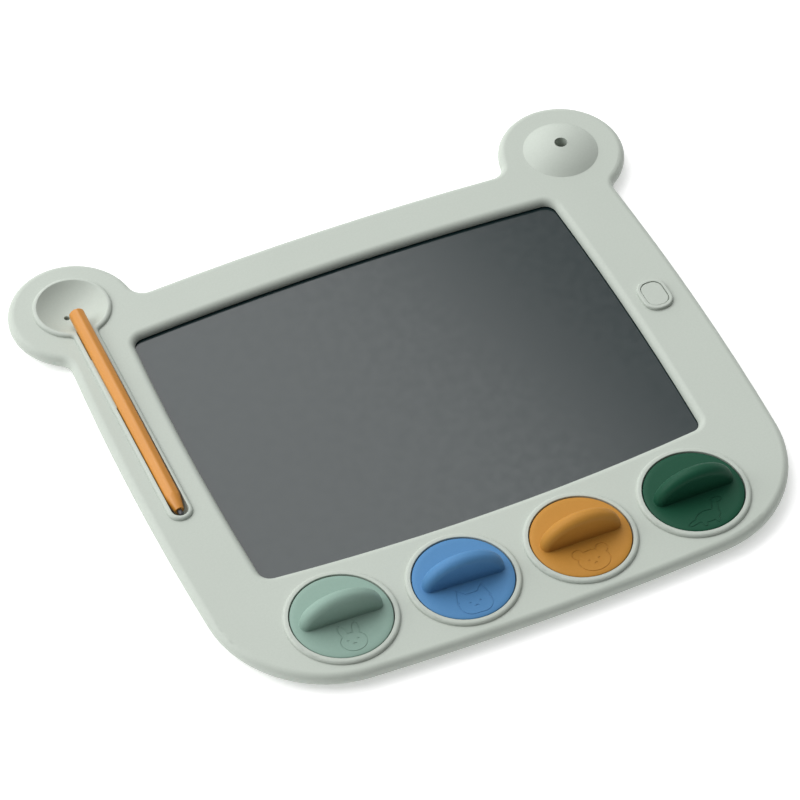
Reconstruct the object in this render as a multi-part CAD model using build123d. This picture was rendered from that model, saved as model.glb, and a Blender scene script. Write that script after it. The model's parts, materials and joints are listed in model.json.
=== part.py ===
from build123d import *
import os
from math import cos, hypot, radians

# Children's LCD drawing tablet in the outline of a bear's head.
# Millimetres. +X to the viewer's right, +Y towards the ears, +Z up out of the screen.
# The origin is under the middle of the outline, at the level of the soles of the feet.

# --- outline of the case -----------------------------------------------------------------------
HALF_WIDTH = 136.65          # widest half width of the head, without the ears
EDGE_BOW = 1400.0            # radius of the slightly bulging side, top and bottom edges
SIDE_BOW_Y = -13.1           # height on the face where the sides are widest
HEAD_TOP = 107.45
EAR_X = 121.15
EAR_RADIUS = 29.2
HALF_LENGTH = 135.65         # from the middle to the chin, and to the top of the ears
EAR_Y = HALF_LENGTH - EAR_RADIUS
CHIN_CORNER = 55.2
EAR_NECK = 7.0               # hollow radius where an ear meets the head

# --- heights -----------------------------------------------------------------------------------
FOOT_PROUD = 0.7
BASE = FOOT_PROUD            # underside of the case
FACE = 9.0                   # top face of the case
WALL = 4.8                   # side wall, thick enough to carry the bevel round the underside
SKIN = 1.8                   # thickness of the top wall and of the rear cover
CEILING = FACE - SKIN
REAR_TOP = BASE + SKIN
TOP_ROUND = 3.1
BASE_BEVEL = 3.5
BEVEL_ROUND = 2.0            # where the bevel meets the upright side
FLOOR_GAP = 0.35             # least air between the moulded pockets and the rear cover
RIM_HEIGHT = 1.5             # bead around the wells and the stylus tray
RIM = FACE + RIM_HEIGHT
RIM_ROUND = RIM_HEIGHT - 0.05
SOFT_EDGE = 0.3

# --- screen ------------------------------------------------------------------------------------
WINDOW_HALF_WIDTH = 105.75
WINDOW_TOP = 84.3
WINDOW_BOTTOM = -74.3
WINDOW_SIDE_BOW = 1500.0
WINDOW_TOP_BOW = 1430.0
WINDOW_BOTTOM_BOW = 1000.0
WINDOW_SIDE_Y = -5.35
WINDOW_CORNER = 5.5
BEZEL_ROUND = 3.35
SCREEN = 5.1                 # surface of the writing film
FILM = 0.8
BACKING = 1.2
GASKET = 0.5
FILM_LAP = 2.9               # how far the film reaches under the bezel
POCKET_WALL = 1.2

# --- stamps ------------------------------------------------------------------------------------
STAMP_RADIUS = 22.0
WELL_RADIUS = 22.5
WELL_WALL = 1.4
WELL_FLOOR = 4.2
BEAD_WIDTH = 2.6
INNER_STAMP = (27.65, -104.95)
OUTER_STAMP = (83.05, -102.35)
STAMP_BOTTOM = WELL_FLOOR + 0.1
STAMP_TOP = RIM - 0.05
STAMP_EDGE = (2.6, 0.6)      # the disc falls away towards its edge: over this width, by this much
RELIEF = 0.8
PAD_THICKNESS = 1.1
PAD_RADIUS = 20.0
GRIP_LENGTH = 37.2
GRIP_HEIGHT = 14.0
GRIP_THICKNESS = 7.0
GRIP_Y = 0.7                 # the grip stands a little behind the middle of the disc
GRIP_ROOT = 0.3              # hollow radius where the grip meets the disc
LINE = 0.55                  # width of the engraved lines
ENGRAVING = 0.2              # depth of the engraved lines
MOTIF_Y = -13.9
PAD_SCALE = 1.45             # the picture on the pad against the one engraved on top

# --- stylus and its tray -----------------------------------------------------------------------
BARREL_RADIUS = 3.6
BARREL_FLAT = 3.42           # from the axis to each of the six flats
NOSE_RADIUS = 2.1
TAIL_DIP = 1.4               # radius of the dip across the tail
BARREL_LENGTH = 123.0
NIB_RADIUS = 1.1
NIB_LENGTH = 3.0
STYLUS_X = -122.4            # where the barrel ends and the nib begins
STYLUS_TIP_Y = -19.85
STYLUS_TIP_Z = 8.56
STYLUS_TILT = 1.28           # degrees, tail end up
STYLUS_TURN = 0.64           # degrees, tail end towards the screen
TRAY_RADIUS = 3.85
TRAY_END_Y = -20.3
TRAY_WALL = 1.4
TRAY_BEAD = 1.9
TRAY_GAP = 0.1               # air under the barrel
LIP_Y = 59.25
LIP_LENGTH = 30.7
LIP_REACH = 0.35
BOWL = (-120.9, 107.95)
BOWL_RADIUS = 24.0           # radius of the sphere that hollows the ear
BOWL_FLOOR = 4.4
CORD_HOLE = (-123.9, 107.15)
CORD_HOLE_RADIUS = 1.3

# --- dome and pen socket -----------------------------------------------------------------------
DOME = (121.1, 107.05)
DOME_BASE = 17.4
DOME_HEIGHT = 5.3
SOCKET_RADIUS = 3.0
SOCKET_FLOOR = 4.2
SOCKET_WALL = 1.8

# --- erase button and board --------------------------------------------------------------------
BUTTON = (119.7, 7.85)
BUTTON_SIZE = (10.3, 14.3)
BUTTON_CORNER = 4.4
BUTTON_GAP = 0.18
BUTTON_TOP = FACE + 1.3
COLLAR_WIDTH = 1.9
COLLAR_TOP = FACE + 1.5
FLANGE_THICKNESS = 0.9
FLANGE_GAP = 0.15
BOARD = (119.8, 7.65)
BOARD_SIZE = (17.0, 42.0)
BOARD_BOTTOM = 3.35
BOARD_THICKNESS = 1.0
BOARD_TOP = BOARD_BOTTOM + BOARD_THICKNESS
SWITCH_SIZE = 6.0
SWITCH_HEIGHT = 1.1
PLUNGER_RADIUS = 1.7
PLUNGER_TOP = BOARD_TOP + 1.6
BOARD_SCREWS = [(114.3, 25.15), (125.2, -9.85)]
RIBBON = BOARD_TOP + 0.05    # underside of the foil strip between film and board
RIBBON_Y = BUTTON[1] + 8.0
RIBBON_WIDTH = 6.0

# --- battery -----------------------------------------------------------------------------------
CELL = (115.0, -84.35)
CELL_RADIUS = 10.0
CELL_HEIGHT = 2.5
CELL_BOTTOM = 2.25
CUP_RADIUS = 10.3
CUP_WALL = 1.0
DOOR_SIZE = (21.0, 35.6)
DOOR_CORNER = 5.0
DOOR_THICKNESS = 1.3
DOOR_GAP = 0.2
DOOR_SCREW_SPAN = 14.8       # from the cell's middle to each door screw
NEGATIVE_ANGLE = 25.0        # directions in which the two contacts leave the cup
POSITIVE_ANGLE = -25.0

# --- fasteners and feet ------------------------------------------------------------------------
SCREW_RADIUS = 1.25
SCREW_HEAD_RADIUS = 2.4
SCREW_HEAD = 1.15
BOSS_RADIUS = 2.9
THREAD_GAP = 0.02
REAR_GAP = 0.15              # between the rear cover and the side wall around it
FOOT_RADIUS = 5.0
FOOT_RECESS = 0.6
CASE_SCREWS = [(s * x, y) for x, y in
               ((EAR_X + 14.7, EAR_Y + 14.7), (50.0, 98.25), (126.9, -51.35), (111.0, -111.0),
                (55.35, -121.85))
               for s in (-1, 1)]
FEET = [(s * x, y) for x, y in ((EAR_X, EAR_Y), (96.0, -120.5)) for s in (-1, 1)]
STAMPS = {
    "teal": (-OUTER_STAMP[0], OUTER_STAMP[1]),
    "blue": (-INNER_STAMP[0], INNER_STAMP[1]),
    "ochre": INNER_STAMP,
    "green": OUTER_STAMP,
}
STAMP_TURN = {"teal": -2.4, "blue": -3.2, "ochre": -1.0, "green": 0.0}    # as they lie, degrees


# ------------------------------------------------------------------------------------- helpers
def prism(face, low, high):
    """The flat face drawn at z = 0, raised into a solid between two heights."""
    return extrude(Pos(0, 0, low) * face, high - low, dir=(0, 0, 1))


def rod(place, radius, low, high):
    """An upright cylinder at (x, y) between two heights."""
    return prism(Pos(*place) * Circle(radius), low, high)


def top_face(solid):
    return solid.faces().sort_by(Axis.Z)[-1]


def bottom_face(solid):
    return solid.faces().sort_by(Axis.Z)[0]


def bowed_face(half_width, top, bottom, side_bow, top_bow, bottom_bow, side_y):
    """A four-sided face whose edges are shallow arcs that bulge outward."""
    sides = [Pos(s * (half_width - side_bow), side_y) * Circle(side_bow) for s in (1, -1)]
    upper = Pos(0, top - top_bow) * Circle(top_bow)
    lower = Pos(0, bottom + bottom_bow) * Circle(bottom_bow)
    return sides[0] & sides[1] & upper & lower


def head_outline(inset=0.0):
    """The bear's head, or the same shape shrunk evenly: four bowed edges, round chin, two ears."""
    bow = EDGE_BOW - inset
    face = bowed_face(HALF_WIDTH - inset, HEAD_TOP - inset, inset - HALF_LENGTH, bow, bow, bow, SIDE_BOW_Y)
    face = fillet(face.vertices().sort_by(Axis.Y)[:2], CHIN_CORNER - inset)
    ear_radius = EAR_RADIUS - inset
    for side in (-1, 1):
        face += Pos(side * EAR_X, EAR_Y) * Circle(ear_radius)
    necks = [v for v in face.vertices()
             if abs(hypot(abs(v.X) - EAR_X, v.Y - EAR_Y) - ear_radius) < 0.01]
    return fillet(necks, EAR_NECK + inset)


def window_outline(grow=0.0):
    """The screen opening, or the same shape grown evenly."""
    face = bowed_face(WINDOW_HALF_WIDTH + grow, WINDOW_TOP + grow, WINDOW_BOTTOM - grow,
                      WINDOW_SIDE_BOW + grow, WINDOW_TOP_BOW + grow, WINDOW_BOTTOM_BOW + grow, WINDOW_SIDE_Y)
    return fillet(face.vertices(), WINDOW_CORNER + grow)


def button_outline(grow=0.0):
    return RectangleRounded(BUTTON_SIZE[0] + 2 * grow, BUTTON_SIZE[1] + 2 * grow, BUTTON_CORNER + grow)


# --------------------------------------------------------------------------------- stylus tray
def in_tray(height, shape):
    """Places a shape drawn with its origin under the barrel's tip and +Y running along the tray."""
    return Pos(STYLUS_X, STYLUS_TIP_Y, height) * Rot(0, 0, -STYLUS_TURN) * shape


def along_stylus(shape):
    """Places a shape drawn round the +Z axis so that +Z runs from the barrel's tip to its tail."""
    tail_up = Rot(-(90 - STYLUS_TILT), 0, 0)
    return in_tray(STYLUS_TIP_Z, tail_up * shape)


def tray_trough(radius, top):
    """A round-bottomed trough under the stylus, with upright sides and one round end."""
    length = EAR_Y - TRAY_END_Y - 8
    height = 16
    section = Circle(radius) + Pos(0, height / 2) * Rectangle(2 * radius, height)
    channel = extrude(Plane.XZ * section, -length)
    half = section & Pos(radius, 0) * Rectangle(2 * radius, 4 * height)
    end = revolve(Plane.XZ * half, Axis.Z, -180)
    axis_height = STYLUS_TIP_Z - BARREL_RADIUS + TRAY_RADIUS - TRAY_GAP
    start = Rot(STYLUS_TILT, 0, 0) * Pos(0, TRAY_END_Y - STYLUS_TIP_Y, 0)
    trough = in_tray(axis_height, start * (channel + end))
    return trough - prism(Pos(STYLUS_X, EAR_Y / 2) * Rectangle(60, 400), top, top + 40)


def snap_lip():
    """Thin ledge along the outer wall of the tray that the barrel clicks past."""
    ledge = fillet(Rectangle(2 * LIP_REACH, LIP_LENGTH).vertices(), 0.3)
    ledge = in_tray(0, Pos(-TRAY_RADIUS, LIP_Y - STYLUS_TIP_Y) * ledge)
    return prism(ledge, RIM - 1.6, RIM - 0.05)


def bowl_sphere(grow=0.0):
    return Pos(*BOWL, BOWL_FLOOR + BOWL_RADIUS) * Sphere(BOWL_RADIUS + grow)


def bowl_mouth():
    """Radius of the bowl where it meets the crest of its bead."""
    rise = BOWL_RADIUS - (RIM - BOWL_FLOOR)
    return (BOWL_RADIUS**2 - rise**2) ** 0.5


def keyhole(grow):
    """Plan of the bowl and the stylus tray together."""
    face = Pos(*BOWL) * Circle(bowl_mouth() + grow)
    length = BOWL[1] - TRAY_END_Y
    slot = Circle(TRAY_RADIUS + grow) + Pos(0, length / 2) * Rectangle(2 * (TRAY_RADIUS + grow), length)
    face += in_tray(0, Pos(0, TRAY_END_Y - STYLUS_TIP_Y) * slot)
    reach = bowl_mouth() + grow
    inner = [v for v in face.vertices() if abs(hypot(v.X - BOWL[0], v.Y - BOWL[1]) - reach) < 0.01
             and v.Y < BOWL[1] - 5]
    return fillet(inner, 4.0 - grow)


# ---------------------------------------------------------------------------------- front cover
def outer_block():
    """The case from outside: a rounded slab."""
    slab = prism(head_outline(), BASE, FACE)
    slab = fillet(top_face(slab).edges(), TOP_ROUND)
    slab = chamfer(bottom_face(slab).edges(), BASE_BEVEL)
    corner = [e for e in slab.edges() if e.bounding_box().size.Z < 0.01
              and abs(e.center().Z - BASE - BASE_BEVEL) < 0.01]
    return fillet(corner, BEVEL_ROUND)


def well_bead(place):
    """Raised ring round a stamp well, rounded over on the outside."""
    bead = rod(place, WELL_RADIUS + BEAD_WIDTH, FACE - 1, RIM)
    return fillet(top_face(bead).edges(), RIM_ROUND)


def tray_bead():
    """Rounded bead that runs round the bowl and the stylus tray."""
    bead = prism(keyhole(TRAY_BEAD), FACE - 1, RIM)
    return fillet(top_face(bead).edges(), RIM_ROUND)


def dome_sphere(grow=0.0):
    radius = (DOME_BASE**2 + DOME_HEIGHT**2) / (2 * DOME_HEIGHT)
    return Pos(*DOME, FACE + DOME_HEIGHT - radius) * Sphere(radius + grow)


def button_collar():
    collar = prism(Pos(*BUTTON) * button_outline(COLLAR_WIDTH), FACE - 1, COLLAR_TOP)
    return fillet(top_face(collar).edges(), 0.8)


def cavity():
    """The hollow inside the case, with every pocket, boss and wall left standing."""
    hollow = prism(head_outline(WALL), BASE - 1, CEILING)
    ear = rod(DOME, DOME_BASE, 0, FACE + DOME_HEIGHT)
    hollow += dome_sphere(-SKIN) & ear
    low = REAR_TOP + FLOOR_GAP
    hollow -= prism(window_outline(FILM_LAP + 0.3 + POCKET_WALL), low, CEILING)
    for place in STAMPS.values():
        hollow -= rod(place, WELL_RADIUS + WELL_WALL, WELL_FLOOR - WELL_WALL, CEILING)
    above_cover = prism(Rectangle(400, 400), low, 40)
    hollow -= bowl_sphere(SKIN - 0.3) & above_cover & rod(BOWL, 19, 0, FACE)
    hollow -= tray_trough(TRAY_RADIUS + TRAY_WALL, FACE) & above_cover
    hollow -= rod(DOME, SOCKET_RADIUS + SOCKET_WALL, SOCKET_FLOOR - SKIN + 0.6, 40)
    for place in CASE_SCREWS:
        hollow -= rod(place, BOSS_RADIUS, REAR_TOP + 0.05, CEILING)
    for place in BOARD_SCREWS:
        hollow -= rod(place, 1.9, BOARD_TOP + 0.02, CEILING)
    return hollow


def front_cover():
    cover = outer_block()
    cover -= prism(window_outline(), -1, 20)
    rim_edges = top_face(cover).inner_wires().edges()
    cover = fillet(rim_edges, BEZEL_ROUND)
    cover -= cavity()
    pocket = prism(window_outline(FILM_LAP + 0.3), -1, SCREEN + GASKET)
    cover -= pocket
    notch = Pos(WINDOW_HALF_WIDTH + FILM_LAP + 1.0, RIBBON_Y) * Rectangle(6.0, RIBBON_WIDTH + 1)
    cover -= prism(notch, RIBBON - 0.2, RIBBON + 0.7)
    for place in STAMPS.values():
        cover += well_bead(place)
    cover += dome_sphere() & rod(DOME, DOME_BASE + 1, FACE - 0.5, 20)
    cover += tray_bead()
    cover += button_collar()
    for place in STAMPS.values():
        cover -= rod(place, WELL_RADIUS, WELL_FLOOR, 20)
    cover -= bowl_sphere() & prism(Rectangle(400, 400), 0, 20)
    cover -= tray_trough(TRAY_RADIUS, 20)
    rims = [e for e in cover.edges() if e.geom_type == GeomType.CIRCLE
            and abs(e.radius - WELL_RADIUS) < 0.01 and abs(e.center().Z - RIM) < 0.01]
    cover = fillet(rims, SOFT_EDGE)
    cover += snap_lip()
    cover -= rod(CORD_HOLE, CORD_HOLE_RADIUS, 0, 20)
    cover -= rod(DOME, SOCKET_RADIUS, SOCKET_FLOOR, 20)
    cover -= prism(Pos(*BUTTON) * button_outline(BUTTON_GAP), 0, 20)
    for place in CASE_SCREWS:
        cover -= rod(place, SCREW_RADIUS + THREAD_GAP, 0, CEILING - 0.5)
    for place in BOARD_SCREWS:
        cover -= rod(place, 0.9 + THREAD_GAP, 0, CEILING - 0.5)
    return cover


# ----------------------------------------------------------------------------------- rear cover
def door_outline(grow=0.0):
    return RectangleRounded(DOOR_SIZE[0] + 2 * grow, DOOR_SIZE[1] + 2 * grow, DOOR_CORNER + grow)


def door_screw_places():
    return [(CELL[0], CELL[1] + s * DOOR_SCREW_SPAN) for s in (-1, 1)]


def rear_cover():
    """Flat plate let into the underside, with the battery cup, ribs and screw seats."""
    cover = prism(head_outline(WALL + REAR_GAP), BASE, REAR_TOP)
    rib_top = SCREEN - FILM - BACKING - 0.05
    for x in (-80, -40, 0, 40, 80):
        cover += prism(Pos(x, 6) * Rectangle(1.5, 140), REAR_TOP, rib_top)
    for y in (-45, 5, 55):
        cover += prism(Pos(0, y) * Rectangle(190, 1.5), REAR_TOP, rib_top)
    cup_top = CELL_BOTTOM + CELL_HEIGHT + 0.5
    cover += rod(CELL, CUP_RADIUS + CUP_WALL, REAR_TOP, cup_top + 1.0)
    for place in door_screw_places():
        cover += rod(place, BOSS_RADIUS, REAR_TOP, cup_top + 1.0)
    cover -= rod(CELL, CUP_RADIUS, 0, cup_top)
    cover -= prism(Pos(*CELL) * door_outline(DOOR_GAP), 0, BASE + DOOR_THICKNESS + 0.05)
    for place in door_screw_places():
        cover -= rod(place, SCREW_RADIUS + 0.1, 0, cup_top)
    for angle in (NEGATIVE_ANGLE, POSITIVE_ANGLE):
        slot = Rot(0, 0, angle) * Pos(CUP_RADIUS, 0) * Rectangle(5.0, 5.6)
        cover -= prism(Pos(*CELL) * slot, CELL_BOTTOM, cup_top + 2)
    for place in CASE_SCREWS:
        cover -= rod(place, SCREW_RADIUS + 0.15, 0, 10)
        cover -= rod(place, SCREW_HEAD_RADIUS + 0.2, 0, BASE + SCREW_HEAD + 0.05)
    for place in FEET:
        cover -= rod(place, FOOT_RADIUS + 0.05, 0, BASE + FOOT_RECESS)
    return cover


def pan_screw(place, seat, tip):
    """Cross-head screw driven upward: its head hangs below the seat, its point is at the tip."""
    head = rod(place, SCREW_HEAD_RADIUS, seat - SCREW_HEAD, seat)
    head = fillet(bottom_face(head).edges(), 0.4)
    screw = head + rod(place, SCREW_RADIUS, seat, tip - 0.8)
    screw += Pos(place[0], place[1], tip - 0.4) * Cone(SCREW_RADIUS, 0.5, 0.8)
    cross = Rectangle(2.6, 0.6) + Rectangle(0.6, 2.6)
    return screw - prism(Pos(*place) * cross, seat - SCREW_HEAD - 1, seat - SCREW_HEAD + 0.7)


def case_screws():
    seat = BASE + SCREW_HEAD + 0.05
    return Compound([pan_screw(place, seat, CEILING - 0.7) for place in CASE_SCREWS])


def foot(place):
    pad = rod(place, FOOT_RADIUS, 0, BASE + FOOT_RECESS)
    pad = fillet(bottom_face(pad).edges(), 0.5)
    return pad - (Pos(place[0], place[1], 0) * Torus(2.6, 0.25))


def rubber_feet():
    return Compound([foot(place) for place in FEET])


# ---------------------------------------------------------------------------------------- screen
def writing_film():
    film = prism(window_outline(FILM_LAP), SCREEN - FILM, SCREEN)
    step = Pos(WINDOW_HALF_WIDTH + FILM_LAP - 0.6, RIBBON_Y) * Rectangle(2.0, RIBBON_WIDTH + 1)
    return film - prism(step, RIBBON - 0.02, SCREEN + 1)


def backing_plate():
    return prism(window_outline(FILM_LAP), SCREEN - FILM - BACKING, SCREEN - FILM)


def screen_gasket():
    ring = window_outline(FILM_LAP) - window_outline(1.0)
    ring -= Pos(WINDOW_HALF_WIDTH + FILM_LAP - 0.6, RIBBON_Y) * Rectangle(2.4, RIBBON_WIDTH + 1.4)
    return prism(ring, SCREEN + 0.02, SCREEN + GASKET - 0.02)


def flex_ribbon():
    """Foil strip from the film's step, over the pocket wall's notch, to the board."""
    start = WINDOW_HALF_WIDTH + FILM_LAP - 1.4
    finish = BOARD[0] - BOARD_SIZE[0] / 2 + 4.0
    strip = Pos((start + finish) / 2, RIBBON_Y) * Rectangle(finish - start, RIBBON_WIDTH)
    return prism(strip, RIBBON, RIBBON + 0.2)


# --------------------------------------------------------------------------- board and controls
def circuit_board():
    board = prism(Pos(*BOARD) * RectangleRounded(*BOARD_SIZE, 1.5), BOARD_BOTTOM, BOARD_TOP)
    for place in BOARD_SCREWS:
        board -= rod(place, 1.1, 0, 20)
    return board


def board_screws():
    screws = []
    for place in BOARD_SCREWS:
        head = rod(place, 1.7, BOARD_BOTTOM - 0.7, BOARD_BOTTOM - 0.02)
        screws.append(fillet(bottom_face(head).edges(), 0.25)
                      + rod(place, 0.9, BOARD_BOTTOM - 0.02, CEILING - 0.7))
    return Compound(screws)


def switch_housing():
    box = prism(Pos(*BUTTON) * RectangleRounded(SWITCH_SIZE, SWITCH_SIZE, 0.6),
                BOARD_TOP, BOARD_TOP + SWITCH_HEIGHT)
    box = chamfer(top_face(box).edges(), 0.2)
    return box - rod(BUTTON, PLUNGER_RADIUS + 0.08, BOARD_TOP + 0.3, 20)


def switch_plunger():
    plunger = rod(BUTTON, PLUNGER_RADIUS, BOARD_TOP + 0.65, PLUNGER_TOP)
    return fillet(top_face(plunger).edges(), 0.3)


def controller_chip():
    """Moulded controller on the board, above the switch."""
    place = Pos(BOARD[0] + 1.5, BOARD[1] + 13.5)
    chip = prism(place * RectangleRounded(5.0, 6.0, 0.3), BOARD_TOP + 0.02, BOARD_TOP + 1.3)
    return chamfer(top_face(chip).edges(), 0.25)


def boost_coil():
    """Drum inductor that raises the cell's voltage to clear the screen."""
    place = (BOARD[0] - 3.8, BOARD[1] - 14.0)
    drum = rod(place, 2.6, BOARD_TOP + 0.02, BOARD_TOP + 2.2)
    waist = rod(place, 4, BOARD_TOP + 0.7, BOARD_TOP + 1.6) - rod(place, 1.9, 0, 20)
    return drum - waist


def erase_button():
    """Key cap with the flange that holds it under the cover and the post that works the switch."""
    cap = prism(Pos(*BUTTON) * button_outline(), CEILING - FLANGE_GAP, BUTTON_TOP)
    cap = fillet(top_face(cap).edges(), 0.55)
    flange_low = CEILING - FLANGE_GAP - FLANGE_THICKNESS
    flange = prism(Pos(*BUTTON) * button_outline(1.2), flange_low, CEILING - FLANGE_GAP)
    return cap + flange + rod(BUTTON, 2.0, PLUNGER_TOP + 0.02, flange_low)


# --------------------------------------------------------------------------------------- battery
def coin_cell():
    top = CELL_BOTTOM + CELL_HEIGHT
    can = rod(CELL, CELL_RADIUS, CELL_BOTTOM, top - 0.35)
    can = fillet(can.edges().filter_by(GeomType.CIRCLE), 0.3)
    return can + rod(CELL, CELL_RADIUS - 1.6, top - 0.4, top)


def outward(angle, shape):
    """Places a shape drawn with +X leading away from the middle of the cell."""
    return Pos(*CELL) * Rot(0, 0, angle) * shape


def negative_contact():
    """Leaf over the cell's small face, with a dimple that touches it and a tail for the wire."""
    low = CELL_BOTTOM + CELL_HEIGHT + 0.1
    leaf = RectangleRounded(11.0, 6.0, 1.5) + Pos(6.5, 0) * Rectangle(13.0, 2.4)
    dimple = Pos(*CELL, low) * Cylinder(0.9, 0.16)
    return prism(outward(NEGATIVE_ANGLE, leaf), low, low + 0.3) + dimple


def positive_contact():
    """Upright spring against the side of the cell, with a flat tab for the wire."""
    upright = Pos(CELL_RADIUS + 0.25, 0) * Rectangle(0.3, 4.6)
    tab = Pos(CELL_RADIUS + 1.7, 0) * Rectangle(3.0, 2.4)
    low, high = CELL_BOTTOM + 0.1, CELL_BOTTOM + 2.6
    contact = prism(outward(POSITIVE_ANGLE, upright), low, high)
    return contact + prism(outward(POSITIVE_ANGLE, tab), high - 0.3, high)


def wire(angle, reach, bends, finish, height):
    """Insulated lead from a contact to the board: straight runs with rounded bends."""
    start = outward(angle, Pos(reach, 1.8)).position
    points = [(start.X, start.Y), *bends, finish]
    path = FilletPolyline(*[(x, y, height) for x, y in points], radius=2.0)
    return sweep(Plane(path @ 0, z_dir=path % 0) * Circle(0.45), path)


def negative_wire():
    board_edge = BOARD[1] - BOARD_SIZE[1] / 2 - 0.4
    return wire(NEGATIVE_ANGLE, 12.6, [(126.4, -69.35), (121.5, -61.35)], (119.0, board_edge),
                CELL_BOTTOM + CELL_HEIGHT + 0.3)


def positive_wire():
    board_edge = BOARD[1] - BOARD_SIZE[1] / 2 - 0.4
    return wire(POSITIVE_ANGLE, 12.6, [(129.2, -83.35), (129.2, -67.35), (123.8, -59.35)],
                (122.4, board_edge), CELL_BOTTOM + 2.4)


def battery_door():
    door = prism(Pos(*CELL) * door_outline(), BASE, BASE + DOOR_THICKNESS)
    for place in door_screw_places():
        door += rod(place, SCREW_HEAD_RADIUS + 0.5, BASE, BASE + DOOR_THICKNESS)
        door -= rod(place, SCREW_RADIUS + 0.1, 0, 10)
        door -= rod(place, SCREW_HEAD_RADIUS + 0.15, 0, BASE + 0.75)
    grip = RectangleRounded(9.0, 1.0, 0.49)
    for step in (-3, -1, 1, 3):
        door -= prism(Pos(CELL[0], CELL[1] + step) * grip, BASE - 1, BASE + 0.35)
    return door


def door_screws():
    screws = []
    for place in door_screw_places():
        head = rod(place, SCREW_HEAD_RADIUS, BASE + 0.05, BASE + 0.73)
        head = fillet(bottom_face(head).edges(), 0.25)
        shank = rod(place, SCREW_RADIUS, BASE + 0.73, CELL_BOTTOM + CELL_HEIGHT)
        cross = Rectangle(2.4, 0.6) + Rectangle(0.6, 2.4)
        screws.append(head + shank - prism(Pos(*place) * cross, 0, BASE + 0.5))
    return Compound(screws)


# ---------------------------------------------------------------------------------------- stylus
def soft_hexagon():
    """Six-sided section with its corners rounded back to the barrel's radius."""
    stretch = 1 / cos(radians(30))
    corner = (BARREL_FLAT * stretch - BARREL_RADIUS) / (stretch - 1)
    return fillet(RegularPolygon(BARREL_FLAT, 6, major_radius=False).vertices(), corner)


def stylus_barrel():
    """Soft six-sided barrel, tapered to the nose, with a rounded tail that has a dip across it."""
    blank = extrude(soft_hexagon(), BARREL_LENGTH)
    clear = BARREL_RADIUS + 0.5
    turned = Wire([
        Line((0, 0), (NOSE_RADIUS, 0)),
        ThreePointArc((NOSE_RADIUS, 0), (3.2, 5.5), (clear, 12)),
        Line((clear, 12), (clear, BARREL_LENGTH - 2.4)),
        ThreePointArc((clear, BARREL_LENGTH - 2.4), (3.0, BARREL_LENGTH - 0.6), (0, BARREL_LENGTH)),
        Line((0, BARREL_LENGTH), (0, 0)),
    ])
    body = Rot(0, 0, 30) * (blank & revolve(Plane.XZ * make_face(turned), Axis.Z))
    body -= Pos(0, 0, BARREL_LENGTH + 0.3) * Rot(90, 0, 0) * Cylinder(TAIL_DIP, 20)
    body -= Pos(0, 0, 2.5) * Cylinder(NIB_RADIUS + 0.01, 5.0)
    return along_stylus(body)


def stylus_nib():
    nib = Cylinder(NIB_RADIUS, 4.9 + NIB_LENGTH - 1.0)
    nib = Pos(0, 0, 4.9 - (3.9 + NIB_LENGTH) / 2) * nib
    tip = Pos(0, 0, -(NIB_LENGTH - 1.0)) * Sphere(NIB_RADIUS)
    return along_stylus(nib + (tip & Pos(0, 0, -NIB_LENGTH) * Box(5, 5, 4)))


# ---------------------------------------------------------------------------------------- stamps
def rabbit(inset=0.0):
    face = Pos(0, -0.9) * Ellipse(6.0 - inset, 5.2 - inset)
    for side in (-1, 1):
        face += Pos(side * 2.9, 5.2) * Rot(0, 0, -side * 12) * Ellipse(1.8 - inset, 3.9 - inset)
    return face


def cat(inset=0.0):
    face = Pos(0, -0.5) * RectangleRounded(15.2 - 2 * inset, 11.6 - 2 * inset, 5.4 - inset)
    for side in (-1, 1):
        face += Pos(side * 4.6, 4.2) * Rot(0, 0, 90 - side * 14) * RegularPolygon(4.6 - 2 * inset, 3)
    return face


def bear(inset=0.0):
    face = Pos(0, -0.3) * Ellipse(7.4 - inset, 6.0 - inset)
    for side in (-1, 1):
        face += Pos(side * 5.5, 4.6) * Circle(2.9 - inset)
    return face


def dinosaur(inset=0.0):
    face = Pos(-0.6, -1.2) * Ellipse(6.0 - inset, 3.4 - inset)
    face += Pos(4.2, 1.8) * Rot(0, 0, 68) * Ellipse(5.0 - inset, 1.7 - inset)
    face += Pos(6.5, 5.7) * Ellipse(2.8 - inset, 1.6 - inset)
    face += Pos(-7.0, -2.2) * Rot(0, 0, 14) * Ellipse(4.2 - inset, 1.4 - inset)
    for x in (-3.6, 2.4):
        face += Pos(x, -3.8) * Ellipse(1.45 - inset, 2.4 - inset)
    return face


MOTIFS = {"teal": rabbit, "blue": cat, "ochre": bear, "green": dinosaur}


def line_drawing(motif):
    """The outline of a motif as a thin band, with two eyes and a nose on the faces."""
    band = motif() - motif(LINE)
    if motif is not dinosaur:
        for side in (-1, 1):
            band += Pos(side * 2.3, 0.2) * Circle(0.5)
        band += Pos(0, -2.0) * Ellipse(0.9, 0.6)
    return band


def stamp_grip():
    """Half-moon fin with blunt ends and a full, soft crest."""
    moon = Ellipse(GRIP_LENGTH / 2, GRIP_HEIGHT)
    moon &= Pos(0, GRIP_HEIGHT / 2 - 0.25) * Rectangle(GRIP_LENGTH * 2, GRIP_HEIGHT + 0.5)
    fin = Pos(0, GRIP_Y) * extrude(Plane.XZ * moon, GRIP_THICKNESS / 2, both=True)
    arch = fin.edges().filter_by(GeomType.ELLIPSE)
    return fillet(arch, GRIP_THICKNESS / 2 - 0.35)


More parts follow.
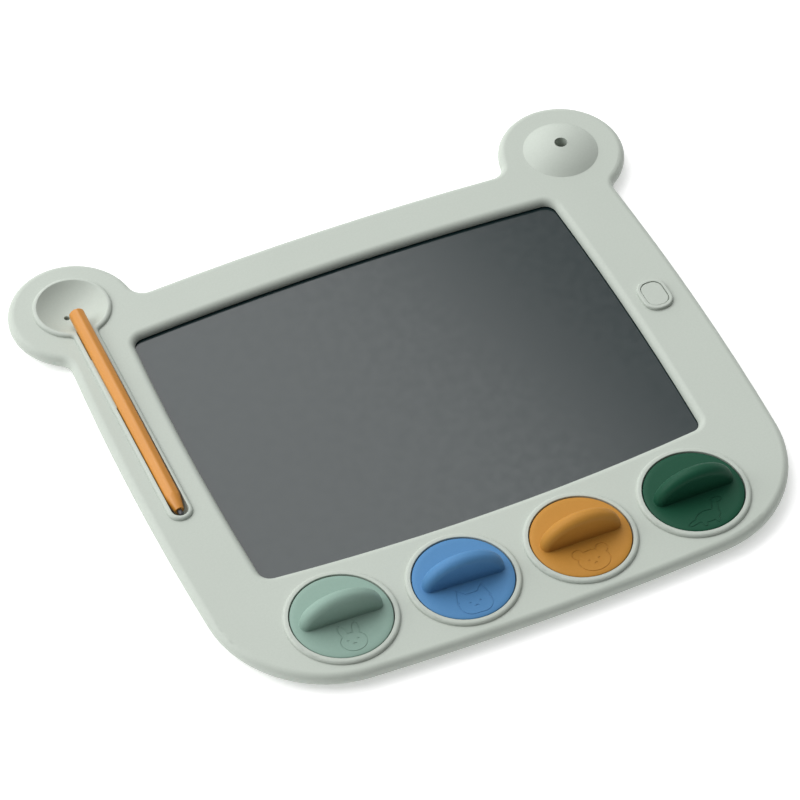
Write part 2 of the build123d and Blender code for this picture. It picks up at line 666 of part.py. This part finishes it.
def stamp_disc():
    """Round plate whose top falls away softly towards its edge."""
    skirt = STAMP_BOTTOM + RELIEF + 0.1
    width, drop = STAMP_EDGE
    section = Pos(0, (skirt + STAMP_TOP) / 2) * Rectangle(2 * STAMP_RADIUS, STAMP_TOP - skirt)
    corner = Pos(STAMP_RADIUS - width / 2, STAMP_TOP - drop / 2) * Rectangle(width, drop)
    shoulder = Pos(STAMP_RADIUS - width, STAMP_TOP - drop) * Ellipse(width, drop)
    section = (section - corner + (corner & shoulder)) & Pos(STAMP_RADIUS, 0) * Rectangle(2 * STAMP_RADIUS, 60)
    return revolve(Plane.XZ * section, Axis.Z)


def stamp_body(color):
    """Coloured disc with its grip, its engraved motif and the recess for the relief pad."""
    recess_top = STAMP_BOTTOM + RELIEF + PAD_THICKNESS
    disc = stamp_disc() - rod((0, 0), PAD_RADIUS + 0.05, 0, recess_top)
    body = disc + Pos(0, 0, STAMP_TOP) * stamp_grip()
    flat_radius = STAMP_RADIUS - STAMP_EDGE[0]
    root = [e for e in body.edges() if abs(e.center().Z - STAMP_TOP) < 0.01
            and max(hypot(v.X, v.Y) for v in e.vertices()) < flat_radius - 0.01]
    body = fillet(root, GRIP_ROOT)
    engraving = Pos(0, MOTIF_Y) * line_drawing(MOTIFS[color])
    body -= prism(engraving, STAMP_TOP - ENGRAVING, STAMP_TOP + 1)
    return Pos(*STAMPS[color]) * Rot(0, 0, STAMP_TURN[color]) * body


def stamp_pad(color):
    """Printing pad: a disc with the motif standing proud underneath, mirrored."""
    low = STAMP_BOTTOM + RELIEF
    pad = rod((0, 0), PAD_RADIUS, low, low + PAD_THICKNESS - 0.02)
    picture = scale(mirror(line_drawing(MOTIFS[color]), Plane.YZ), PAD_SCALE)
    pad += prism(picture, STAMP_BOTTOM, low + 0.1)
    return Pos(*STAMPS[color]) * Rot(0, 0, STAMP_TURN[color]) * pad


# ----------------------------------------------------------------------------------------- write
PARTS = {
    "front_cover": front_cover,
    "rear_cover": rear_cover,
    "case_screws": case_screws,
    "rubber_feet": rubber_feet,
    "writing_film": writing_film,
    "backing_plate": backing_plate,
    "screen_gasket": screen_gasket,
    "flex_ribbon": flex_ribbon,
    "circuit_board": circuit_board,
    "board_screws": board_screws,
    "controller_chip": controller_chip,
    "boost_coil": boost_coil,
    "switch_housing": switch_housing,
    "switch_plunger": switch_plunger,
    "erase_button": erase_button,
    "coin_cell": coin_cell,
    "negative_contact": negative_contact,
    "positive_contact": positive_contact,
    "positive_wire": positive_wire,
    "negative_wire": negative_wire,
    "battery_door": battery_door,
    "door_screws": door_screws,
    "stylus_barrel": stylus_barrel,
    "stylus_nib": stylus_nib,
}

os.makedirs("parts", exist_ok=True)
for name, build in PARTS.items():
    export_step(build(), f"parts/{name}.step")
for color in STAMPS:
    export_step(stamp_body(color), f"parts/{color}_stamp.step")
    export_step(stamp_pad(color), f"parts/{color}_stamp_pad.step")
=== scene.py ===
import json
import math

import bpy
from mathutils import Matrix, Quaternion, Vector

# Looks of a children's LCD drawing tablet: its plastics, rubbers and metals, a pale floor, soft studio
# light and the camera. Metres, in the frame of the CAD part: +X right, +Y towards the ears, +Z up.

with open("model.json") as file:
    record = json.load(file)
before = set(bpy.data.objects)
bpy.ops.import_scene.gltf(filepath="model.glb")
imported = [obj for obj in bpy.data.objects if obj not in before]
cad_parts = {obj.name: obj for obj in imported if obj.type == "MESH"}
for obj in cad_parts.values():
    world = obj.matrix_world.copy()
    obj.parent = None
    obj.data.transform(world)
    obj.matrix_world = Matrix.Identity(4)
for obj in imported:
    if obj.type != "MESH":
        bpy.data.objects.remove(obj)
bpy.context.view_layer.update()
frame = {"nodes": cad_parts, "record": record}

MM = 0.001

# --------------------------------------------------------------------------------------- camera
AZIMUTH = math.radians(-24.865)
ELEVATION = math.radians(48.826)
ROLL = math.radians(0.403)
TARGET = Vector((-0.01042, -0.00251, 0.00995))
DISTANCE = 1.9555
LENS_PER_SENSOR = 5.5771     # focal length over sensor width
SENSOR = 36.0
VIEW_REACH = 100.0           # nothing farther away than this is drawn

# --------------------------------------- light, where 1.0 is a white surface seen as full white
SKY = 1.50
SKY_RIGHT = 0.48             # share of that brightness left towards +X
SKY_RIGHT_FALL = (-0.2, 0.8)     # X of the directions where the fall starts and ends
SKY_FRONT = 0.10             # share left towards the viewer, -Y
SKY_FRONT_FALL = (0.1, -0.65)    # Y of the directions where the fall starts and ends
BACK_BOX = 2.55
SIDE_BOX = 3.9
FLOOR_GLOW = 0.32

# ------------------------------------------------------------------------------------- surfaces
STAMP_SHINE = 0.14
NIB_POLISH = (-23.5 * MM, -20.5 * MM)    # Y of the nib's point, and of its unpolished root
COIL_WAIST = (5.05 * MM, 5.95 * MM)      # heights between the coil drum's two flanges
WAIST_BLEND = 0.01 * MM
TRACK_PITCH = 1.0 * MM
WEAVE_PITCH = 0.6 * MM
WIRE_PITCH = 0.2 * MM
FLOOR_REACH = 6.0


# -------------------------------------------------------------------------------- node recipes
def set_range(node, start, end, low, high):
    """Makes a Map Range node take start..end smoothly to low..high."""
    node.interpolation_type = "SMOOTHSTEP"
    for name, number in (("From Min", start), ("From Max", end), ("To Min", low), ("To Max", high)):
        node.inputs[name].default_value = number


class Recipe:
    """A material's node tree, built step by step from textures in the part's own coordinates."""

    def __init__(self, name):
        self.material = bpy.data.materials.new(name)
        self.material.use_nodes = True
        self.tree = self.material.node_tree
        self.tree.nodes.clear()
        self.place = self.add("ShaderNodeTexCoord").outputs["Object"]

    def feed(self, socket, value):
        if isinstance(value, bpy.types.NodeSocket):
            self.tree.links.new(value, socket)
        elif socket.type == "RGBA" and len(value) == 3:
            socket.default_value = (*value, 1.0)
        else:
            socket.default_value = value

    def add(self, kind, settings=None, **values):
        node = self.tree.nodes.new(kind)
        for key, value in (settings or {}).items():
            setattr(node, key, value)
        for key, value in values.items():
            self.feed(node.inputs[key.replace("_", " ")], value)
        return node

    def math(self, operation, *values):
        node = self.add("ShaderNodeMath", {"operation": operation})
        for socket, value in zip(node.inputs, values):
            self.feed(socket, value)
        return node.outputs[0]

    def stretched(self, scale, turn=0.0):
        """The part's coordinates scaled along each axis, after a turn about Z."""
        node = self.add("ShaderNodeMapping", Vector=self.place, Scale=scale, Rotation=(0, 0, turn))
        return node.outputs[0]

    def noise(self, size, detail=3.0, stretch=None, turn=0.0):
        """Cloudy values round 0.5 with features of about this size in metres."""
        place = self.stretched(stretch, turn) if stretch else self.place
        return self.add("ShaderNodeTexNoise", Vector=place, Scale=1.0 / size, Detail=detail).outputs["Fac"]

    def cells(self, size, feature="F1"):
        return self.add("ShaderNodeTexVoronoi", {"feature": feature}, Vector=self.place,
                        Scale=1.0 / size).outputs["Distance"]

    def ramp(self, value, start, end, low=0.0, high=1.0):
        """Value mapped smoothly from start..end to low..high, and held there outside."""
        node = self.add("ShaderNodeMapRange", Value=value)
        set_range(node, start, end, low, high)
        return node.outputs["Result"]

    def waves(self, axis, pitch):
        """A sine along one axis, from -1 to 1, with this pitch."""
        return self.math("SINE", self.math("MULTIPLY", self.axis(axis), 2 * math.pi / pitch))

    def mix(self, share, first, second):
        node = self.add("ShaderNodeMix", {"data_type": "RGBA"})
        self.feed(node.inputs[0], share)
        self.feed(node.inputs[6], first)
        self.feed(node.inputs[7], second)
        return node.outputs[2]

    def axis(self, name):
        return self.add("ShaderNodeSeparateXYZ", Vector=self.place).outputs[name]

    def soft_edges(self, radius):
        """A normal that rounds every edge by this radius."""
        return self.add("ShaderNodeBevel", {"samples": 4}, Radius=radius).outputs[0]

    def worn_and_highlit_edges(self, radius):
        """1 along sharp edges, where hands rub and where the edges get a painted highlight, and 0 on open
        faces.
        """
        true = self.add("ShaderNodeNewGeometry").outputs["Normal"]
        node = self.add("ShaderNodeVectorMath", {"operation": "DOT_PRODUCT"})
        self.feed(node.inputs[0], true)
        self.feed(node.inputs[1], self.soft_edges(radius))
        return self.ramp(node.outputs["Value"], 0.99, 0.80)

    def bump(self, height, depth, normal=None):
        node = self.add("ShaderNodeBump", Height=height, Distance=depth, Strength=1.0)
        if normal is not None:
            self.feed(node.inputs["Normal"], normal)
        return node.outputs[0]

    def finish(self, **values):
        shader = self.add("ShaderNodeBsdfPrincipled", **values)
        output = self.add("ShaderNodeOutputMaterial")
        self.tree.links.new(shader.outputs[0], output.inputs["Surface"])
        return self.material


def shade(color, factor):
    return tuple(min(1.0, c * factor) for c in color)


# ------------------------------------------------------------------------------------- plastics
def moulded_plastic(name, color, roughness=0.5, edge=0.12 * MM, shine=0.5):
    """Spark-textured moulding: fine grain, faint flow clouds, hairline scratches, rubbed edges lightened
    partly as wear and partly as a painted highlight.
    """
    r = Recipe(name)
    clouds = r.noise(45 * MM, 4)
    speckle = r.noise(0.9 * MM, 2)
    base = r.mix(clouds, shade(color, 0.965), shade(color, 1.035))
    base = r.mix(r.ramp(speckle, 0.35, 0.65, 0.0, 0.3), base, shade(color, 0.93))
    worn_and_highlit = r.worn_and_highlit_edges(0.35 * MM)
    # edges lightened: rubbing wear together with a painted highlight
    base = r.mix(r.math("MULTIPLY", worn_and_highlit, 0.35), base, shade(color, 1.18))
    hairs = r.ramp(r.noise(3 * MM, 2, stretch=(1, 14, 1), turn=0.7), 0.66, 0.74)
    matt = r.ramp(speckle, 0.3, 0.7, roughness - 0.06, roughness + 0.06)
    matt = r.math("SUBTRACT", matt, r.math("MULTIPLY", hairs, 0.05))
    matt = r.math("SUBTRACT", matt, r.math("MULTIPLY", worn_and_highlit, 0.08))
    grain = r.noise(0.32 * MM, 3)
    normal = r.bump(grain, 0.006 * MM, r.soft_edges(edge))
    return r.finish(Base_Color=base, Roughness=matt, IOR=1.47, Specular_IOR_Level=shine, Normal=normal)


def case_plastic():
    return moulded_plastic("case_plastic", (0.440, 0.483, 0.434), 0.55, 0.25 * MM)


def stylus_plastic():
    """Satin orange with long draw marks down the barrel."""
    color = (0.530, 0.215, 0.022)
    r = Recipe("stylus_plastic")
    base = r.mix(r.noise(16 * MM, 3), shade(color, 0.94), shade(color, 1.05))
    worn_and_highlit = r.worn_and_highlit_edges(0.5 * MM)
    # edges lightened: rubbing wear together with a painted highlight
    base = r.mix(r.math("MULTIPLY", worn_and_highlit, 0.3), base, shade(color, 1.25))
    draw = r.noise(0.35 * MM, 2, stretch=(1, 0.02, 1))
    matt = r.ramp(draw, 0.3, 0.7, 0.34, 0.44)
    normal = r.bump(draw, 0.004 * MM, r.soft_edges(0.3 * MM))
    normal = r.bump(r.noise(0.25 * MM, 2), 0.003 * MM, normal)
    return r.finish(Base_Color=base, Roughness=matt, IOR=1.5, Normal=normal)


def nib_plastic():
    """Hard dark point, polished by use at its end."""
    r = Recipe("nib_plastic")
    polish = r.ramp(r.axis("Y"), *NIB_POLISH)
    base = r.mix(r.noise(0.8 * MM, 3), (0.035, 0.036, 0.040), (0.060, 0.061, 0.066))
    normal = r.bump(r.noise(0.2 * MM, 2), 0.004 * MM)
    return r.finish(Base_Color=base, Roughness=r.ramp(polish, 0, 1, 0.28, 0.5), Normal=normal)


def backing_plastic():
    """Black glass-filled plastic with short fibres in its skin."""
    r = Recipe("backing_plastic")
    fibres = r.ramp(r.noise(1.2 * MM, 2, stretch=(1, 8, 3), turn=0.5), 0.6, 0.72)
    base = r.mix(fibres, (0.022, 0.022, 0.024), (0.055, 0.055, 0.058))
    normal = r.bump(r.noise(0.4 * MM, 4), 0.02 * MM, r.soft_edges(0.15 * MM))
    return r.finish(Base_Color=base, Roughness=r.ramp(fibres, 0, 1, 0.5, 0.7), Normal=normal)


def screen_film():
    """Dark liquid-crystal film: a satin face with faint pressure clouds and fine stylus scratches."""
    r = Recipe("screen_film")
    clouds = r.noise(70 * MM, 3)
    base = r.mix(clouds, (0.0030, 0.0125, 0.0140), (0.0040, 0.0150, 0.0165))
    fleck = r.ramp(r.noise(0.6 * MM, 2), 0.70, 0.78, 0.0, 0.25)
    base = r.mix(fleck, base, (0.030, 0.034, 0.037))
    strokes = r.ramp(r.noise(6 * MM, 2, stretch=(1, 22, 1), turn=1.1), 0.70, 0.76)
    matt = r.ramp(r.noise(5 * MM, 4), 0.3, 0.7, 0.13, 0.17)
    matt = r.math("ADD", matt, r.math("MULTIPLY", strokes, 0.04))
    height = r.math("SUBTRACT", r.noise(0.3 * MM, 2), r.math("MULTIPLY", strokes, 0.3))
    return r.finish(Base_Color=base, Roughness=matt, IOR=1.48, Normal=r.bump(height, 0.0015 * MM))


def wire_plastic(name, color):
    """Extruded insulation with a slight ripple along it."""
    r = Recipe(name)
    base = r.mix(r.noise(2 * MM, 3), shade(color, 0.85), shade(color, 1.15))
    normal = r.bump(r.noise(0.5 * MM, 3), 0.02 * MM)
    matt = r.ramp(r.noise(1.0 * MM), 0.3, 0.7, 0.3, 0.45)
    return r.finish(Base_Color=base, Roughness=matt, Normal=normal)


# -------------------------------------------------------------------------------------- rubbers
def rubber(name, color, pore):
    """Soft matt rubber with fine pores and a pale bloom."""
    r = Recipe(name)
    pores = r.cells(pore)
    bloom = r.ramp(r.noise(6 * MM, 4), 0.45, 0.7)
    base = r.mix(bloom, shade(color, 0.88), shade(color, 1.15))
    # the pits are also darkened in colour: painted shade in them
    base = r.mix(r.ramp(pores, 0.0, 0.25, 0.4, 0.0), base, shade(color, 0.6))
    normal = r.bump(pores, 0.03 * MM, r.soft_edges(0.2 * MM))
    return r.finish(Base_Color=base, Roughness=r.ramp(bloom, 0, 1, 0.68, 0.85), Normal=normal,
                    Sheen_Weight=0.15, Sheen_Roughness=0.4)


# --------------------------------------------------------------------------------------- metals
def metal(name, color, roughness, brush):
    """Brushed or rolled metal: fine lines one way, dull blotches, bright rubbed edges that are partly wear
    and partly a painted highlight.
    """
    r = Recipe(name)
    lines = r.noise(0.25 * MM, 3, stretch=brush)
    blotch = r.noise(3 * MM, 4)
    worn_and_highlit = r.worn_and_highlit_edges(0.2 * MM)
    base = r.mix(blotch, shade(color, 0.86), shade(color, 1.05))
    # edges brightened: rubbing wear together with a painted highlight
    base = r.mix(r.math("MULTIPLY", worn_and_highlit, 0.5), base, shade(color, 1.3))
    matt = r.ramp(blotch, 0.3, 0.7, roughness - 0.07, roughness + 0.09)
    normal = r.bump(lines, 0.008 * MM, r.soft_edges(0.1 * MM))
    return r.finish(Base_Color=base, Metallic=1.0, Roughness=matt, Normal=normal, Anisotropic=0.4)


# ---------------------------------------------------------------------------------- electronics
def ribbon_film():
    """Amber foil with copper tracks running along it."""
    r = Recipe("ribbon_film")
    tracks = r.ramp(r.waves("Y", TRACK_PITCH), 0.0, 0.25)
    base = r.mix(tracks, (0.30, 0.115, 0.020), (0.50, 0.235, 0.075))
    base = r.mix(r.ramp(r.noise(2 * MM, 3), 0.3, 0.7, 0.0, 0.3), base, (0.22, 0.085, 0.018))
    normal = r.bump(tracks, 0.02 * MM)
    return r.finish(Base_Color=base, Roughness=r.ramp(tracks, 0, 1, 0.24, 0.36), Normal=normal)


def board_laminate():
    """Green solder mask over copper tracks, with woven glass showing faintly."""
    r = Recipe("board_laminate")
    weave = r.math("MULTIPLY", r.waves("X", WEAVE_PITCH), r.waves("Y", WEAVE_PITCH))
    copper = r.ramp(r.cells(3.2 * MM, "DISTANCE_TO_EDGE"), 0.05, 0.07, 1.0, 0.0)
    base = r.mix(r.ramp(weave, -1, 1), (0.012, 0.075, 0.030), (0.016, 0.095, 0.040))
    base = r.mix(copper, base, (0.030, 0.170, 0.070))
    normal = r.bump(r.math("ADD", copper, r.math("MULTIPLY", weave, 0.1)), 0.03 * MM)
    matt = r.ramp(copper, 0, 1, 0.34, 0.26)
    return r.finish(Base_Color=base, Roughness=matt, Normal=normal, Coat_Weight=0.4)


def coil_ferrite():
    """Sintered drum, with enamelled copper turns showing in its waist."""
    r = Recipe("coil_ferrite")
    height = r.axis("Z")
    turns = r.waves("Z", WIRE_PITCH)
    low, high = COIL_WAIST
    above = r.ramp(height, low - WAIST_BLEND, low + WAIST_BLEND)
    below = r.ramp(height, high - WAIST_BLEND, high + WAIST_BLEND, 1.0, 0.0)
    waist = r.math("MULTIPLY", above, below)
    ferrite = r.mix(r.noise(0.5 * MM, 4), (0.035, 0.032, 0.030), (0.090, 0.085, 0.080))
    copper = r.mix(r.ramp(turns, -1, 1), (0.22, 0.060, 0.020), (0.62, 0.240, 0.090))
    base = r.mix(waist, ferrite, copper)
    relief = r.math("ADD", r.noise(0.3 * MM, 4), r.math("MULTIPLY", turns, waist))
    matt = r.ramp(waist, 0, 1, 0.75, 0.3)
    return r.finish(Base_Color=base, Roughness=matt, Normal=r.bump(relief, 0.03 * MM))


MATERIALS = {
    "case_plastic": case_plastic,
    "screw_steel": lambda: metal("screw_steel", (0.60, 0.60, 0.58), 0.32, (1, 1, 6)),
    "foot_rubber": lambda: rubber("foot_rubber", (0.26, 0.28, 0.26), 0.5 * MM),
    "screen_film": screen_film,
    "backing_plastic": backing_plastic,
    "gasket_foam": lambda: rubber("gasket_foam", (0.020, 0.021, 0.022), 0.35 * MM),
    "ribbon_film": ribbon_film,
    "board_laminate": board_laminate,
    "coil_ferrite": coil_ferrite,
    "cell_steel": lambda: metal("cell_steel", (0.66, 0.65, 0.63), 0.24, (1, 12, 1)),
    "contact_brass": lambda: metal("contact_brass", (0.72, 0.58, 0.32), 0.28, (12, 1, 1)),
    "wire_red": lambda: wire_plastic("wire_red", (0.42, 0.030, 0.022)),
    "wire_black": lambda: wire_plastic("wire_black", (0.022, 0.022, 0.024)),
    "stylus_plastic": stylus_plastic,
    "nib_plastic": nib_plastic,
    "teal_plastic": lambda: moulded_plastic("teal_plastic", (0.238, 0.350, 0.298), 0.50, shine=STAMP_SHINE),
    "blue_plastic": lambda: moulded_plastic("blue_plastic", (0.078, 0.218, 0.425), 0.48, shine=STAMP_SHINE),
    "ochre_plastic": lambda: moulded_plastic("ochre_plastic", (0.455, 0.215, 0.037), 0.48, shine=STAMP_SHINE),
    "green_plastic": lambda: moulded_plastic("green_plastic", (0.009, 0.067, 0.036), 0.46, shine=STAMP_SHINE),
    "pad_rubber": lambda: rubber("pad_rubber", (0.33, 0.34, 0.33), 0.45 * MM),
}


def dress_nodes():
    """Gives every CAD node the material of its slot."""
    made = {slot: make() for slot, make in MATERIALS.items()}
    for part in frame["record"]["subparts"]:
        piece = frame["nodes"][part["node"]]
        piece.data.materials.clear()
        piece.data.materials.append(made[part["material_slot"]])


# ---------------------------------------------------------------------------------------- stage
def pale_floor():
    """A wide sheet of white paper under the feet, which also glows a little."""
    mesh = bpy.data.meshes.new("floor")
    corners = [(x * FLOOR_REACH, y * FLOOR_REACH, 0.0) for x, y in ((-1, -1), (1, -1), (1, 1), (-1, 1))]
    mesh.from_pydata(corners, [], [(0, 1, 2, 3)])
    floor = bpy.data.objects.new("floor", mesh)
    bpy.context.scene.collection.objects.link(floor)
    r = Recipe("floor_paper")
    base = r.mix(r.noise(0.25, 3), (0.93, 0.93, 0.93), (0.95, 0.95, 0.95))
    normal = r.bump(r.noise(1.5 * MM, 3), 0.01 * MM)
    paper = r.finish(Base_Color=base, Roughness=0.9, Specular_IOR_Level=0.2, Emission_Strength=FLOOR_GLOW,
                     Normal=normal)
    mesh.materials.append(paper)


def sky():
    """White surroundings, dimmer towards +X and darker still in front of the object."""
    world = bpy.data.worlds.new("studio")
    bpy.context.scene.world = world
    world.use_nodes = True
    tree = world.node_tree
    tree.nodes.clear()
    place = tree.nodes.new("ShaderNodeTexCoord")
    split = tree.nodes.new("ShaderNodeSeparateXYZ")
    glow = tree.nodes.new("ShaderNodeBackground")
    output = tree.nodes.new("ShaderNodeOutputWorld")
    both = tree.nodes.new("ShaderNodeMath")
    both.operation = "MULTIPLY"
    tree.links.new(place.outputs["Generated"], split.inputs[0])
    falls = (("X", SKY_RIGHT_FALL, SKY, SKY * SKY_RIGHT), ("Y", SKY_FRONT_FALL, 1.0, SKY_FRONT))
    for number, (axis, (start, end), low, high) in enumerate(falls):
        fall = tree.nodes.new("ShaderNodeMapRange")
        set_range(fall, start, end, low, high)
        tree.links.new(split.outputs[axis], fall.inputs["Value"])
        tree.links.new(fall.outputs["Result"], both.inputs[number])
    tree.links.new(both.outputs[0], glow.inputs["Strength"])
    tree.links.new(glow.outputs[0], output.inputs["Surface"])


def softbox(name, bearing, height, distance, width, depth, radiance, roll=0.0):
    """A rectangular soft light at a bearing (from +Y towards +X) and an angle above the floor."""
    out = math.cos(math.radians(height))
    way = Vector((math.sin(math.radians(bearing)) * out,
                  math.cos(math.radians(bearing)) * out,
                  math.sin(math.radians(height))))
    data = bpy.data.lights.new(name, "AREA")
    data.shape = "RECTANGLE"
    data.size = width
    data.size_y = depth
    data.energy = radiance * math.pi * width * depth
    light = bpy.data.objects.new(name, data)
    light.location = way * distance
    facing = way.to_track_quat("Z", "Y") @ Quaternion((0, 0, 1), math.radians(roll))
    light.rotation_euler = facing.to_euler()
    bpy.context.scene.collection.objects.link(light)


def studio_light():
    """The back box shines in the screen film, and its right edge makes the film darker to the right."""
    sky()
    softbox("back_box", bearing=-8.0, height=50.0, distance=3.3, width=2.52, depth=2.3,
            radiance=BACK_BOX, roll=21.5)
    softbox("side_box", bearing=-70.0, height=38.0, distance=2.2, width=1.2, depth=1.2,
            radiance=SIDE_BOX)


def photo_camera():
    """A long lens above and to the left of the front edge, aimed at TARGET."""
    data = bpy.data.cameras.new("camera")
    data.sensor_width = SENSOR
    data.lens = LENS_PER_SENSOR * SENSOR
    data.clip_end = VIEW_REACH
    camera = bpy.data.objects.new("camera", data)
    bpy.context.scene.collection.objects.link(camera)
    out = math.cos(ELEVATION)
    back = Vector((math.sin(AZIMUTH) * out, -math.cos(AZIMUTH) * out, math.sin(ELEVATION)))
    right = Vector((math.cos(AZIMUTH), math.sin(AZIMUTH), 0.0))
    turn = Matrix((right, back.cross(right), back)).transposed() @ Matrix.Rotation(ROLL, 3, "Z")
    camera.matrix_world = Matrix.Translation(TARGET + back * DISTANCE) @ turn.to_4x4()
    bpy.context.scene.camera = camera


def color_handling():
    view = bpy.context.scene.view_settings
    view.view_transform = "Standard"
    view.look = "None"


dress_nodes()
pale_floor()
studio_light()
photo_camera()
color_handling()
